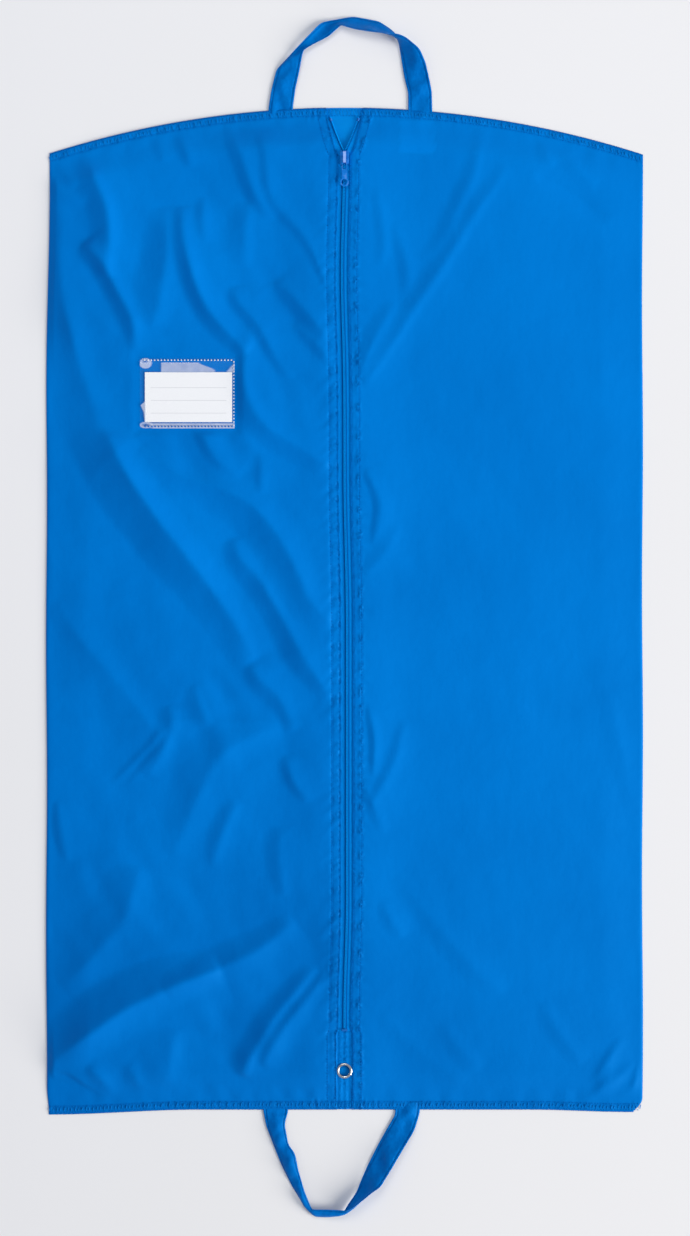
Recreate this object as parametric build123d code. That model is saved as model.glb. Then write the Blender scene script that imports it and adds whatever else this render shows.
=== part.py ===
"""Hanging garment bag, lying flat on its back with its front zipper closed.

X runs across the bag, Y from the bottom seam to the shoulder seam, Z up out of the front.
The origin is the middle of the whole bag, strap loops included, on the surface that it lies on.
All sizes are in millimetres.

The cloth panels are thin shells round the space for the clothes. Whatever crosses the line
where the bag folds in half is cut there, because its two halves turn against each other.
"""
import math
import os

from build123d import *

# Outline of the bag.
HALF_WIDTH = 305
BOTTOM_Y = -506
TOP_Y = 520
SHOULDER_DROP = 48
ARC_RADIUS = (HALF_WIDTH**2 + SHOULDER_DROP**2) / (2 * SHOULDER_DROP)
ARC_CENTRE_Y = TOP_Y - ARC_RADIUS
FOLD_Y = 7
FOLD_GAP = 0.5

# Heights of the layers, from the surface that the bag lies on.
CLOTH = 0.8
FRONT_Z = 8.9
HEM = 9
HEM_TUCK = 2
RAMP = 18
THREAD = 0.2
THREAD_WIDTH = 0.6
REACH = 2000

# Zipper down the middle of the front.
GAP_HALF = 5.5
VEE_Y = 470
VEE_HALF = 17
ZIP_END_Y = -422.5
TAPE_HALF = 16
TAPE_SPLIT = 0.5
TAPE_THICK = 0.6
TAPE_Z = FRONT_Z - CLOTH
TAPE_TOP_Y = 492
COIL_IN = 0.55
COIL_OUT = 2.4
COIL_Z = 10.1
SPREAD_Y = 474.5
SPREAD_END_Y = 489
SPREAD_X = 4.7
STOP_LENGTH = 2.5
STOP_GAP = 0.3

# Slider and its pull tab.
SLIDER_TOP_Y = 474.2
SLIDER_LENGTH = 13.7
SLIDER_HALF = 4.7
SLIDER_BOTTOM_Z = 6.3
PLATE_THICK = 0.9
FLANGE_IN = 2.7
FLANGE_Z = 8.4
CROWN_HALF = 1.4
CROWN_Z = 14.0
CROWN_BAR = 0.8
POST_HALF = 0.25
POST_LENGTH = 4
PULL_Y = 465
PULL_Z = 12.3
PULL_LENGTH = 27.5
PULL_NECK_HALF = 2.9
PULL_RING_R = 4.4
PULL_THICK = 1.0
PULL_EYE_HALF = 1.9
PULL_EYE_LENGTH = 9.6
PULL_HOLE_R = 3.0

# Strip and eyelet below the zipper, where a second hanger hook goes through.
STRIP_HALF = 7.5
EYELET_Y = -462.8
EYELET_R = 7.9
EYELET_BORE_R = 5.4
BARREL_R = 5.9
EYELET_THICK = 0.8
WASHER_THICK = 0.6

# Clear pocket on the front's left side, open towards the bag's edge, and its card.
POCKET_LEFT = -208.4
POCKET_RIGHT = -112
POCKET_LOW = 191.6
POCKET_HIGH = 263.2
POCKET_RIM = 1.8
VINYL = 0.3
POCKET_Z = 10.1
CARD_LENGTH = 88.9
CARD_WIDTH = 50.8
CARD_RIGHT = -114.4
CARD_LOW = 198
CARD_Z = 9.2

# Care label sewn inside the front, right of the zipper.
LABEL_LEFT = 57
LABEL_RIGHT = 92
LABEL_LOW = 472.5
LABEL_HIGH = 506
LABEL_THICK = 0.4
LABEL_DEPTH = 0.9

# Strap loops at both ends. Each is a centre line: two straight legs into a round end.
STRAP_WIDTH = 25
STRAP_Z = 0.3
STRAP_THICK = 1.6
STRAP_CLEAR = 0.4
TOP_LOOP_CENTRE = (5, 531.6)
TOP_LOOP_RADIUS = 68.6
TOP_LOOP_ROOTS = (-66, 75.6)
BOTTOM_LOOP_CENTRE = (-19.5, -572.2)
BOTTOM_LOOP_RADIUS = 28
BOTTOM_LOOP_ROOTS = (-71.5, 63.4)


def block(x_span, y_span, z_span):
    """Box between two X, two Y and two Z values."""
    low = (x_span[0], y_span[0], z_span[0])
    high = (x_span[1], y_span[1], z_span[1])
    size = [h - l for l, h in zip(low, high)]
    middle = [(h + l) / 2 for l, h in zip(low, high)]
    return Pos(*middle) * Box(*size)


def prism(points, z_span):
    """Flat-sided solid from a plan outline and two heights."""
    face = make_face(Polyline(*points, close=True).edges())
    return Pos(0, 0, z_span[0]) * extrude(face, z_span[1] - z_span[0])


def outline(side_inset, end_inset, z):
    """Bag outline at height z, moved in from the sides and from the two sewn ends."""
    half = HALF_WIDTH - side_inset
    radius = ARC_RADIUS - end_inset
    bottom = BOTTOM_Y + end_inset
    top = TOP_Y - end_inset
    corner = ARC_CENTRE_Y + math.sqrt(radius**2 - half**2)
    left = Line((-half, bottom), (-half, corner))
    arc = ThreePointArc((-half, corner), (0, top), (half, corner))
    right = Line((half, corner), (half, bottom))
    base = Line((half, bottom), (-half, bottom))
    return Pos(0, 0, z) * make_face([left, arc, right, base])


def end_bands(inset, width, z, thick):
    """Bands along the two sewn ends, a distance in from the edge."""
    outer = extrude(outline(0, inset, z), thick)
    inner = extrude(outline(-1, inset + width, z - 1), thick + 2)
    return outer - inner


def mound(depth):
    """The whole raised front as one solid, lowered by depth."""
    foot = outline(0, HEM, CLOTH - depth)
    top = outline(RAMP, HEM + RAMP, FRONT_Z - depth)
    return loft([foot, top], ruled=True)


def front_layer(depth, thick):
    """Cloth that follows the front, depth below its outer face."""
    above_back = block((-REACH, REACH), (-REACH, REACH), (CLOTH, REACH))
    return (mound(depth) - mound(depth + thick)) & above_back


def opening_outline(clear):
    """Plan of the gap between the front's inner edges: strip, zipper and V, made smaller by clear."""
    strip = STRIP_HALF - clear
    gap = GAP_HALF - clear
    vee = VEE_HALF - clear
    right = [
        (strip, BOTTOM_Y - 1),
        (strip, ZIP_END_Y),
        (gap, ZIP_END_Y),
        (gap, VEE_Y),
        (vee, TOP_Y + 1),
    ]
    left = [(-x, y) for x, y in reversed(right)]
    return right + left


def front_cover():
    """Both front panels together, with the opening between them cut out."""
    cover = front_layer(0, CLOTH) + end_bands(0, HEM + HEM_TUCK, CLOTH, CLOTH)
    return cover - prism(opening_outline(0), (-1, FRONT_Z + 1))


def upper_region(x_span):
    """Everything above the fold line, between two X values."""
    return block(x_span, (FOLD_Y + FOLD_GAP / 2, REACH), (-REACH, REACH))


def lower_region(x_span):
    """Everything below the fold line, between two X values."""
    return block(x_span, (-REACH, FOLD_Y - FOLD_GAP / 2), (-REACH, REACH))


def mirrored(points, side):
    """Plan points on the right (1), or their mirror image on the left (-1)."""
    return [(side * x, y) for x, y in points]


def spread_x(x, y):
    """X of a zipper edge, which runs straight up and then turns outwards into the V."""
    slope = SPREAD_X / (SPREAD_END_Y - SPREAD_Y)
    return x + slope * max(0, y - SPREAD_Y)


def make_back_panels():
    """Back cloth, with its hem turned up where the V leaves it bare."""
    cloth = extrude(outline(0, 0, 0), CLOTH)
    turned_hem = end_bands(0, HEM, CLOTH, CLOTH) & prism(opening_outline(0.3), (0, FRONT_Z))
    cloth += turned_hem & upper_region((-REACH, REACH))
    everywhere = (-REACH, REACH)
    return {
        "back_panel_upper": cloth & upper_region(everywhere),
        "back_panel_lower": cloth & lower_region(everywhere),
    }


def make_front_panels():
    """Left and right front cloth, each in an upper and a lower half."""
    cover = front_cover()
    parts = {}
    for name, x_span in (("left", (-REACH, 0)), ("right", (0, REACH))):
        parts[f"front_panel_{name}_upper"] = cover & upper_region(x_span)
        parts[f"front_panel_{name}_lower"] = cover & lower_region(x_span)
    return parts


def make_tapes():
    """Zipper tapes under the panels' inner edges, turned outwards in the V."""
    parts = {}
    z_span = (TAPE_Z - TAPE_THICK, TAPE_Z)
    for name, side in (("left", -1), ("right", 1)):
        upper = [
            (TAPE_SPLIT, FOLD_Y + FOLD_GAP / 2),
            (TAPE_HALF, FOLD_Y + FOLD_GAP / 2),
            (TAPE_HALF, TAPE_TOP_Y),
            (spread_x(TAPE_SPLIT, TAPE_TOP_Y), TAPE_TOP_Y),
            (TAPE_SPLIT, SPREAD_Y),
        ]
        lower = [
            (TAPE_SPLIT, ZIP_END_Y),
            (TAPE_HALF, ZIP_END_Y),
            (TAPE_HALF, FOLD_Y - FOLD_GAP / 2),
            (TAPE_SPLIT, FOLD_Y - FOLD_GAP / 2),
        ]
        parts[f"zipper_tape_{name}_upper"] = prism(mirrored(upper, side), z_span)
        parts[f"zipper_tape_{name}_lower"] = prism(mirrored(lower, side), z_span)
    return parts


def make_coils():
    """The two rows of zipper teeth on the tapes."""
    parts = {}
    z_span = (TAPE_Z, COIL_Z)
    coil_bottom = ZIP_END_Y + STOP_LENGTH + STOP_GAP
    for name, side in (("left", -1), ("right", 1)):
        upper = [
            (COIL_IN, FOLD_Y + FOLD_GAP / 2),
            (COIL_OUT, FOLD_Y + FOLD_GAP / 2),
            (COIL_OUT, SPREAD_Y),
            (spread_x(COIL_OUT, SPREAD_END_Y), SPREAD_END_Y),
            (spread_x(COIL_IN, SPREAD_END_Y), SPREAD_END_Y),
            (COIL_IN, SPREAD_Y),
        ]
        lower = [
            (COIL_IN, coil_bottom),
            (COIL_OUT, coil_bottom),
            (COIL_OUT, FOLD_Y - FOLD_GAP / 2),
            (COIL_IN, FOLD_Y - FOLD_GAP / 2),
        ]
        parts[f"zipper_coil_{name}_upper"] = prism(mirrored(upper, side), z_span)
        parts[f"zipper_coil_{name}_lower"] = prism(mirrored(lower, side), z_span)
    return parts


def make_stops():
    """A stop on each tape's end in the V, and one across both rows at the bottom."""
    parts = {}
    low = SPREAD_END_Y + STOP_GAP
    high = low + STOP_LENGTH - STOP_GAP
    z_span = (TAPE_Z, COIL_Z)
    for name, side in (("left", -1), ("right", 1)):
        plan = [
            (spread_x(COIL_IN, low), low),
            (spread_x(COIL_OUT, low), low),
            (spread_x(COIL_OUT, high), high),
            (spread_x(COIL_IN, high), high),
        ]
        parts[f"zipper_top_stop_{name}"] = prism(mirrored(plan, side), z_span)
    width = (-COIL_OUT - 0.4, COIL_OUT + 0.4)
    parts["zipper_bottom_stop"] = block(width, (ZIP_END_Y + 0.2, ZIP_END_Y + STOP_LENGTH), z_span)
    return parts


def make_slider():
    """Slider body: two plates, side flanges, the post that parts the rows, and the crown."""
    low = SLIDER_TOP_Y - SLIDER_LENGTH
    y_span = (low, SLIDER_TOP_Y)
    across = (-SLIDER_HALF, SLIDER_HALF)
    plate_low = COIL_Z + 0.3
    plate_high = plate_low + PLATE_THICK
    bottom_high = SLIDER_BOTTOM_Z + PLATE_THICK
    body = block(across, y_span, (plate_low, plate_high))
    body += block(across, y_span, (SLIDER_BOTTOM_Z, bottom_high))
    body += block((FLANGE_IN, SLIDER_HALF), y_span, (FLANGE_Z, plate_low))
    body += block((-SLIDER_HALF, -FLANGE_IN), y_span, (FLANGE_Z, plate_low))
    post = (SLIDER_TOP_Y - POST_LENGTH, SLIDER_TOP_Y)
    body += block((-POST_HALF, POST_HALF), post, (bottom_high, plate_low))
    crown_y = (low + 1.2, SLIDER_TOP_Y - 0.8)
    window_y = (crown_y[0] + 1.2, crown_y[1] - 1.2)
    crown = block((-CROWN_HALF, CROWN_HALF), crown_y, (plate_high, CROWN_Z))
    crown = fillet(crown.edges().filter_by(Axis.X).group_by(Axis.Z)[-1], 1.1)
    window = block((-REACH, REACH), window_y, (plate_high, CROWN_Z - CROWN_BAR))
    return {"slider_body": body + (crown - window)}


def make_pull():
    """Pull tab: a flat neck with a ring end, and an eye whose bar runs through the crown."""
    ring_y = PULL_Y - PULL_LENGTH + PULL_RING_R
    z_low = PULL_Z - PULL_THICK / 2
    high = PULL_Y + PULL_THICK / 2
    tongue = block((-PULL_NECK_HALF, PULL_NECK_HALF), (ring_y, high), (z_low, z_low + PULL_THICK))
    tongue += Pos(0, ring_y, PULL_Z) * Cylinder(PULL_RING_R, PULL_THICK)
    eye_y = (PULL_Y - PULL_EYE_LENGTH, REACH)
    tongue -= block((-PULL_EYE_HALF, PULL_EYE_HALF), eye_y, (0, REACH))
    tongue -= Pos(0, ring_y, PULL_Z) * Cylinder(PULL_HOLE_R, 2 * PULL_THICK)
    bar = Pos(0, PULL_Y, PULL_Z) * Rot(0, 90, 0) * Cylinder(PULL_THICK / 2, 2 * PULL_EYE_HALF + 1)
    return {"pull_tab": tongue + bar}


def make_strip():
    """Cloth strip that closes the front below the zipper, under the panels' inner edges."""
    eyelet_hole = Pos(0, EYELET_Y, 0) * Cylinder(BARREL_R + 0.05, 4 * FRONT_Z)
    below_zip = (BOTTOM_Y, ZIP_END_Y - 0.3)
    strip = front_layer(CLOTH + 0.1, CLOTH) & block((-TAPE_HALF, TAPE_HALF), below_zip, (0, FRONT_Z))
    above_hem = (BOTTOM_Y + HEM + HEM_TUCK, ZIP_END_Y)
    strip &= block((-TAPE_HALF, TAPE_HALF), above_hem, (0, FRONT_Z))
    hem_x = (0.3 - STRIP_HALF, STRIP_HALF - 0.3)
    foot = block(hem_x, (BOTTOM_Y, BOTTOM_Y + HEM + 2 * HEM_TUCK), (CLOTH, 2 * CLOTH))
    return {"grommet_strip": strip + foot - eyelet_hole}


def make_eyelet():
    """Metal eyelet through the strip and the washer that it is pressed into."""
    strip_low = FRONT_Z - 2 * CLOTH - 0.1
    top = FRONT_Z + EYELET_THICK
    washer_low = strip_low - WASHER_THICK
    flange = Pos(0, EYELET_Y, FRONT_Z + EYELET_THICK / 2) * Cylinder(EYELET_R, EYELET_THICK)
    flange = fillet(flange.edges().group_by(Axis.Z)[-1], EYELET_THICK * 0.6)
    barrel_length = top - washer_low
    barrel_middle = washer_low + barrel_length / 2
    barrel = Pos(0, EYELET_Y, barrel_middle) * Cylinder(BARREL_R, barrel_length)
    bore = Pos(0, EYELET_Y, barrel_middle) * Cylinder(EYELET_BORE_R, 2 * barrel_length)
    washer = Cylinder(EYELET_R, WASHER_THICK) - Cylinder(BARREL_R + 0.05, 2 * WASHER_THICK)
    return {
        "grommet_eyelet": flange + barrel - bore,
        "grommet_washer": Pos(0, EYELET_Y, washer_low + WASHER_THICK / 2) * washer,
    }


def make_pocket():
    """Clear pocket, sewn down on three sides, and the card in it."""
    x_span = (POCKET_LEFT, POCKET_RIGHT)
    y_span = (POCKET_LOW, POCKET_HIGH)
    window = block(x_span, y_span, (FRONT_Z, POCKET_Z))
    inside = (POCKET_LEFT - 1, POCKET_RIGHT - POCKET_RIM)
    between = (POCKET_LOW + POCKET_RIM, POCKET_HIGH - POCKET_RIM)
    window -= block(inside, between, (FRONT_Z - 1, POCKET_Z - VINYL))
    card_x = (CARD_RIGHT - CARD_LENGTH, CARD_RIGHT)
    card = block(card_x, (CARD_LOW, CARD_LOW + CARD_WIDTH), (CARD_Z, CARD_Z + VINYL))
    top = (POCKET_Z, POCKET_Z + THREAD)
    middle = POCKET_RIM / 2
    low = POCKET_LOW + middle
    high = POCKET_HIGH - middle
    right = POCKET_RIGHT - middle
    half = THREAD_WIDTH / 2
    thread = block((POCKET_LEFT + 1, right + half), (low - half, low + half), top)
    thread += block((POCKET_LEFT + 1, right + half), (high - half, high + half), top)
    thread += block((right - half, right + half), (low, high), top)
    return {"id_window": window, "id_card": card, "pocket_thread": thread}


def make_label():
    """Care label inside the front, caught in the shoulder seam."""
    area = block((LABEL_LEFT, LABEL_RIGHT), (LABEL_LOW, LABEL_HIGH), (0, FRONT_Z))
    return {"inner_label": front_layer(LABEL_DEPTH, LABEL_THICK) & area}


def make_seam_threads():
    """Two rows of stitches along each sewn end."""
    rows = Part()
    for inset in (2, HEM - 1):
        rows += end_bands(inset, THREAD_WIDTH, 2 * CLOTH, THREAD)
    everywhere = (-REACH, REACH)
    return {
        "top_seam_thread": rows & upper_region(everywhere),
        "bottom_seam_thread": rows & lower_region(everywhere),
    }


def make_zipper_threads():
    """Two rows of stitches down each side of the zipper, and one each side of the strip."""
    parts = {}
    z_span = (FRONT_Z, FRONT_Z + THREAD)
    inner_row = (GAP_HALF + 1, GAP_HALF + 1 + THREAD_WIDTH)
    outer_row = (TAPE_HALF - 1 - THREAD_WIDTH, TAPE_HALF - 1)
    plate_top = TOP_Y - HEM - RAMP - 5
    plate_low = BOTTOM_Y + HEM + RAMP + 1
    for name, side in (("left", -1), ("right", 1)):
        for half, cut in (("upper", upper_region), ("lower", lower_region)):
            inner_x = sorted((side * inner_row[0], side * inner_row[1]))
            outer_x = sorted((side * outer_row[0], side * outer_row[1]))
            rows = block(inner_x, (ZIP_END_Y, VEE_Y), z_span)
            rows += block(outer_x, (plate_low, plate_top), z_span)
            parts[f"zipper_thread_{name}_{half}"] = rows & cut((-REACH, REACH))
    strip_x = STRIP_HALF + 1
    strip_y = (plate_low, ZIP_END_Y - 1)
    strip = block((strip_x, strip_x + THREAD_WIDTH), strip_y, z_span)
    strip += block((-strip_x - THREAD_WIDTH, -strip_x), strip_y, z_span)
    around_eyelet = Pos(0, EYELET_Y, FRONT_Z) * Cylinder(EYELET_R + 0.3, FRONT_Z)
    parts["strip_thread"] = strip - around_eyelet
    return parts


def leg_end(centre, radius, root, side):
    """Where a straight leg from its root runs tangent into the loop's round end."""
    reach = Vector(*root) - Vector(*centre)
    turn = side * math.acos(radius / reach.length)
    angle = math.atan2(reach.Y, reach.X) + turn
    return (centre[0] + radius * math.cos(angle), centre[1] + radius * math.sin(angle))


def strap_loop(centre, radius, root_y, roots, upwards):
    """Flat strap: leg, round end, leg, swept from its cross-section."""
    starts = [(roots[0], root_y), (roots[1], root_y)]
    left = leg_end(centre, radius, starts[0], -upwards)
    right = leg_end(centre, radius, starts[1], upwards)
    apex = (centre[0], centre[1] + upwards * radius)
    path = Line(starts[0], left) + ThreePointArc(left, apex, right) + Line(right, starts[1])
    path = Pos(0, 0, STRAP_Z + STRAP_THICK / 2) * path
    section = Plane(path @ 0, x_dir=(0, 0, 1), z_dir=path % 0)
    strap = sweep(section * Rectangle(STRAP_THICK, STRAP_WIDTH), path=path)
    return strap - extrude(outline(-1, -STRAP_CLEAR, -1), FRONT_Z)


def make_loops():
    """The two carrying loops, each ending just outside the seam that it is sewn into."""
    top = strap_loop(TOP_LOOP_CENTRE, TOP_LOOP_RADIUS, TOP_Y - HEM, TOP_LOOP_ROOTS, 1)
    bottom = strap_loop(
        BOTTOM_LOOP_CENTRE, BOTTOM_LOOP_RADIUS, BOTTOM_Y + HEM, BOTTOM_LOOP_ROOTS, -1
    )
    return {"top_handle": top, "bottom_handle": bottom}


MAKERS = (
    make_back_panels,
    make_front_panels,
    make_tapes,
    make_coils,
    make_stops,
    make_slider,
    make_pull,
    make_strip,
    make_eyelet,
    make_pocket,
    make_label,
    make_seam_threads,
    make_zipper_threads,
    make_loops,
)

os.makedirs("parts", exist_ok=True)
for maker in MAKERS:
    for node, shape in maker().items():
        export_step(shape, f"parts/{node}.step")
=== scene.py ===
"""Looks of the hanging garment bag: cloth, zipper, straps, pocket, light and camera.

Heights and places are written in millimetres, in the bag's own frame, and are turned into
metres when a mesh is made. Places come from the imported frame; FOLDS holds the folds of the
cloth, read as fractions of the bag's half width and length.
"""
import math

import bpy
import numpy as np
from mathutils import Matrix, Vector


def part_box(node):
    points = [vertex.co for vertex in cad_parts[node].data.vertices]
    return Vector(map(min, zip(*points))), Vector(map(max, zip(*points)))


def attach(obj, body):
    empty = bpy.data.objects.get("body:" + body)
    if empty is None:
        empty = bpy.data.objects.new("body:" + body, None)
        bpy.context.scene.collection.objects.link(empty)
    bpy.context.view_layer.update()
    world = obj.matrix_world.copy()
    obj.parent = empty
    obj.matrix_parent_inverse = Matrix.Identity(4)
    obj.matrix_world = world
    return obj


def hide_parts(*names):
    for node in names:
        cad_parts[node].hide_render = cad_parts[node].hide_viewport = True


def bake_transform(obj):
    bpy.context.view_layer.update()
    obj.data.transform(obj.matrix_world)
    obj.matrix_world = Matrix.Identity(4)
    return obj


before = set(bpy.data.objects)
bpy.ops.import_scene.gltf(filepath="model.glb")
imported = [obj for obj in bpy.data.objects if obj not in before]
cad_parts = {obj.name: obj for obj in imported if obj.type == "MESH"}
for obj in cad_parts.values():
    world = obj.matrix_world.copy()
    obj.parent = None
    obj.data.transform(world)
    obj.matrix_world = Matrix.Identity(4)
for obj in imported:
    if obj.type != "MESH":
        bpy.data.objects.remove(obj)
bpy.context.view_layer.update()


def low(node):
    """Lowest corner of a CAD node, in millimetres."""
    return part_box(node)[0] * 1000


def high(node):
    """Highest corner of a CAD node, in millimetres."""
    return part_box(node)[1] * 1000


def centre_of(node):
    """Middle of a CAD node's box, in millimetres."""
    return (low(node) + high(node)) / 2


MM = 0.001

# Outline of the bag, from the frame.
HALF_WIDTH = high("back_panel_upper").x
BOTTOM_Y = low("back_panel_lower").y
TOP_Y = high("back_panel_upper").y
LENGTH = TOP_Y - BOTTOM_Y
SHOULDER_DROP = 48
ARC_RADIUS = (HALF_WIDTH**2 + SHOULDER_DROP**2) / (2 * SHOULDER_DROP)

# Heights above the surface that the bag lies on.
BACK_Z = 0.35
HEM_Z = 1.9
LIP_Z = high("front_panel_left_upper").z
BODY_Z = 6.3
SIDE_Z = 4.4
HEM = 9
LOOP_PITCH = 3.7

# Zipper.
ZIP_END_Y = low("zipper_tape_left_lower").y
ZIP_TOP_Y = TOP_Y - HEM
SPREAD_Y = high("slider_body").y + 0.3
LIP_X = 5.5
STRIP_X = 7.5
VEE_X = 19
VEE_Y = 470
COIL_MIDDLE_Z = (low("zipper_coil_left_upper").z + high("zipper_coil_left_upper").z) / 2
STITCH_ROWS = (6.9, 15.3)

# How far the zipper's line wanders sideways.
BOW = 2.6

# Radii of the eyelet's bore and of the strip's hole behind it.
EYELET_BORE = 5.4
STRIP_HOLE = 5.6

# How far the card slides out to the left, and the height that the cloth under its way keeps below.
CARD_PULL = 95
CARD_WAY_Z = 8.7

# Length of a fold's gentle right slope, as a multiple of its steep part.
TAIL = 3.4
FOLD_LIFT = 1.2

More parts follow.
